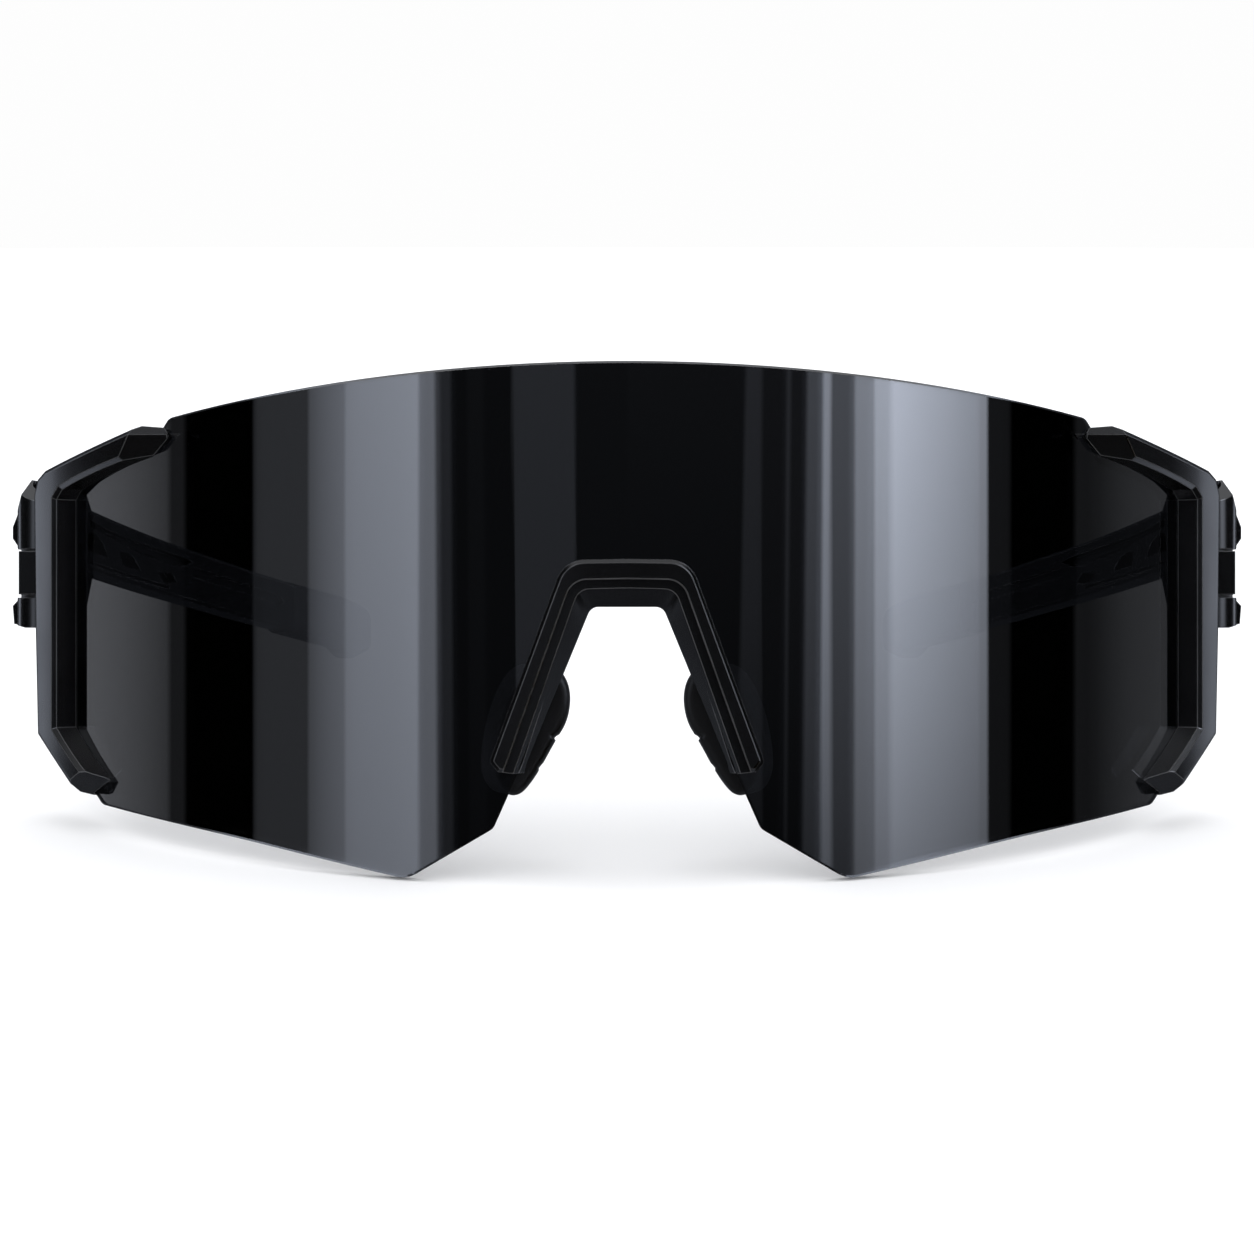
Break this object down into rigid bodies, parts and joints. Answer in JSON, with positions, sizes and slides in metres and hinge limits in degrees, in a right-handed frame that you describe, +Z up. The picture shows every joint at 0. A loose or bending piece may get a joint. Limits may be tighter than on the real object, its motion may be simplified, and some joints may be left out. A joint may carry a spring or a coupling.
{
  "type": "wraparound sport sunglasses",
  "caption": "Wraparound shield sunglasses: one-piece dark lens in clamping side frames, nose bridge with swivelling pads and folding temples with rubber tips.",
  "frame": {"origin": "centre of the footprint, on the surface the glasses stand on", "axes": "+Z up, front of the lens faces -Y, temples run to +Y, +X is the wearer's left; the glasses rest on the lens's lower corners and the temple tips, so the lens leans back by 8.4 degrees"},
  "size_m": [0.1514, 0.1664, 0.0562],
  "materials": {
    "lens": "polished dark smoke polycarbonate, slightly see-through",
    "frame": "satin black moulded nylon",
    "grip_rubber": "matt black overmoulded rubber",
    "pad_rubber": "soft matt black rubber",
    "steel": "bright stainless steel",
    "brass": "turned brass",
    "washer": "natural grey acetal"
  },
  "bodies": {
    "front": {"shield_lens": "lens", "left_side_frame": "frame", "right_side_frame": "frame", "nose_bridge": "frame"},
    "left_temple": {"left_temple_arm": "frame", "left_temple_grip": "grip_rubber", "left_hinge_screw": "steel", "left_hinge_insert": "brass", "left_hinge_washers": "washer"},
    "right_temple": {"right_temple_arm": "frame", "right_temple_grip": "grip_rubber", "right_hinge_screw": "steel", "right_hinge_insert": "brass", "right_hinge_washers": "washer"},
    "left_pad": {"left_nose_pad": "pad_rubber", "left_pad_core": "steel"},
    "right_pad": {"right_nose_pad": "pad_rubber", "right_pad_core": "steel"}
  },
  "joints": [
    {"name": "left_temple_fold", "type": "hinge", "parent": "front", "child": "left_temple", "pos_m": [0.0714, -0.03684, 0.02825], "axis": [0, 0.1461, 0.9893], "range_deg": [0, 84]},
    {"name": "right_temple_fold", "type": "hinge", "parent": "front", "child": "right_temple", "pos_m": [-0.0714, -0.03684, 0.02825], "axis": [0, -0.1461, -0.9893], "range_deg": [0, 75]},
    {"name": "left_pad_splay", "type": "hinge", "parent": "front", "child": "left_pad", "pos_m": [0.0117, -0.07513, 0.01611], "axis": [0, 0.9893, -0.1461], "range_deg": [-8, 8]},
    {"name": "right_pad_splay", "type": "hinge", "parent": "front", "child": "right_pad", "pos_m": [-0.0117, -0.07513, 0.01611], "axis": [0, 0.9893, -0.1461], "range_deg": [-8, 8]}
  ]
}
